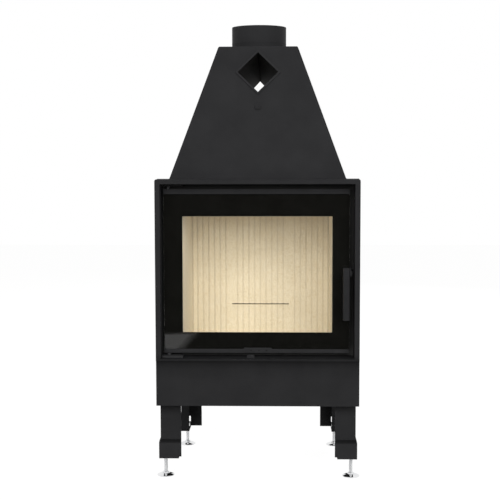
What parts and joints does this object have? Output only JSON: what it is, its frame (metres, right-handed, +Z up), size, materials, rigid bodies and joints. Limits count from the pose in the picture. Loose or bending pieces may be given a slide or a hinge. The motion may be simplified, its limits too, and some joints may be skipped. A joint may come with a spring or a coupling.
{
  "type": "fireplace insert",
  "caption": "Tall steel fireplace insert: glass door in a folded surround, lined firebox, tapering hood with a through duct, round flue collar, and folded legs with levelling feet.",
  "frame": {"origin": "on the floor, midway across the overall width and midway between the surround's front face and the air spigot's rear end", "axes": "+Z up; +Y from the door to the rear; +X to the right of someone facing the door"},
  "size_m": [0.652, 0.54, 1.45],
  "materials": {
    "casing_paint": "matte heat-proof paint, dark grey",
    "firebox_steel": "matte heat-proof paint on boiler plate",
    "duct_steel": "matte heat-proof paint",
    "lining_board": "matte pressed refractory board, cream",
    "door_pane": "clear heat-proof glass with a black printed border",
    "door_trim": "satin black paint",
    "gasket": "knitted glass fibre",
    "zinc_steel": "bright zinc plate"
  },
  "bodies": {
    "root": {"front_surround": "casing_paint", "apron_panel": "casing_paint", "base_front_plate": "casing_paint", "base_tray": "casing_paint", "air_spigot": "casing_paint", "floor_plate": "firebox_steel", "door_seat_plate": "firebox_steel", "firebox_left": "firebox_steel", "firebox_right": "firebox_steel", "firebox_back": "firebox_steel", "firebox_top": "firebox_steel", "hood_front": "casing_paint", "hood_back": "casing_paint", "hood_left": "casing_paint", "hood_right": "casing_paint", "hood_cap": "casing_paint", "flue_collar": "casing_paint", "heat_exchange_duct": "duct_steel", "sensor_boss": "casing_paint", "sensor_plug": "zinc_steel", "lining_back_left": "lining_board", "lining_back_right": "lining_board", "lining_back_lower": "lining_board", "lining_back_upper": "lining_board", "lining_left": "lining_board", "lining_right": "lining_board", "hearth_boards": "lining_board", "baffle_bar": "firebox_steel", "baffle_boards": "lining_board", "hinge_plates": "casing_paint", "hinge_pins": "zinc_steel", "latch_keeper": "casing_paint", "damper_studs": "zinc_steel", "leg_front_left": "casing_paint", "leg_front_right": "casing_paint", "leg_rear_left": "casing_paint", "leg_rear_right": "casing_paint", "shoe_front_left": "casing_paint", "shoe_front_right": "casing_paint", "shoe_rear_left": "casing_paint", "shoe_rear_right": "casing_paint", "weld_nuts": "zinc_steel", "leg_bolts": "zinc_steel"},
    "door": {"door_glass": "door_pane", "glass_tape": "gasket", "door_frame": "door_trim", "hinge_blocks": "door_trim", "door_rope": "gasket", "glass_strip_top": "door_trim", "glass_strip_bottom": "door_trim", "handle_bracket": "door_trim"},
    "handle": {"handle_grip": "door_trim", "latch_hook": "door_trim"},
    "air_control": {"air_lever": "door_trim", "damper_plate": "zinc_steel"},
    "foot_front_left": {"foot_front_left": "zinc_steel"},
    "foot_front_right": {"foot_front_right": "zinc_steel"},
    "foot_rear_left": {"foot_rear_left": "zinc_steel"},
    "foot_rear_right": {"foot_rear_right": "zinc_steel"}
  },
  "joints": [
    {"name": "door_hinge", "type": "hinge", "parent": "root", "child": "door", "pos_m": [-0.283, -0.208, 0.667], "axis": [0, 0, -1], "range_deg": [0, 90]},
    {"name": "handle_pivot", "type": "hinge", "parent": "door", "child": "handle", "pos_m": [0.286, -0.256, 0.664], "axis": [-1, 0, 0], "range_deg": [0, 35]},
    {"name": "air_slide", "type": "slide", "parent": "root", "child": "air_control", "axis": [1, 0, 0], "range_m": [0, 0.044]},
    {"name": "foot_screw_front_left", "type": "slide", "parent": "root", "child": "foot_front_left", "axis": [0, 0, 1], "range_m": [-0.02, 0.04]},
    {"name": "foot_screw_front_right", "type": "slide", "parent": "root", "child": "foot_front_right", "axis": [0, 0, 1], "range_m": [-0.02, 0.04]},
    {"name": "foot_screw_rear_left", "type": "slide", "parent": "root", "child": "foot_rear_left", "axis": [0, 0, 1], "range_m": [-0.02, 0.04]},
    {"name": "foot_screw_rear_right", "type": "slide", "parent": "root", "child": "foot_rear_right", "axis": [0, 0, 1], "range_m": [-0.02, 0.04]}
  ]
}
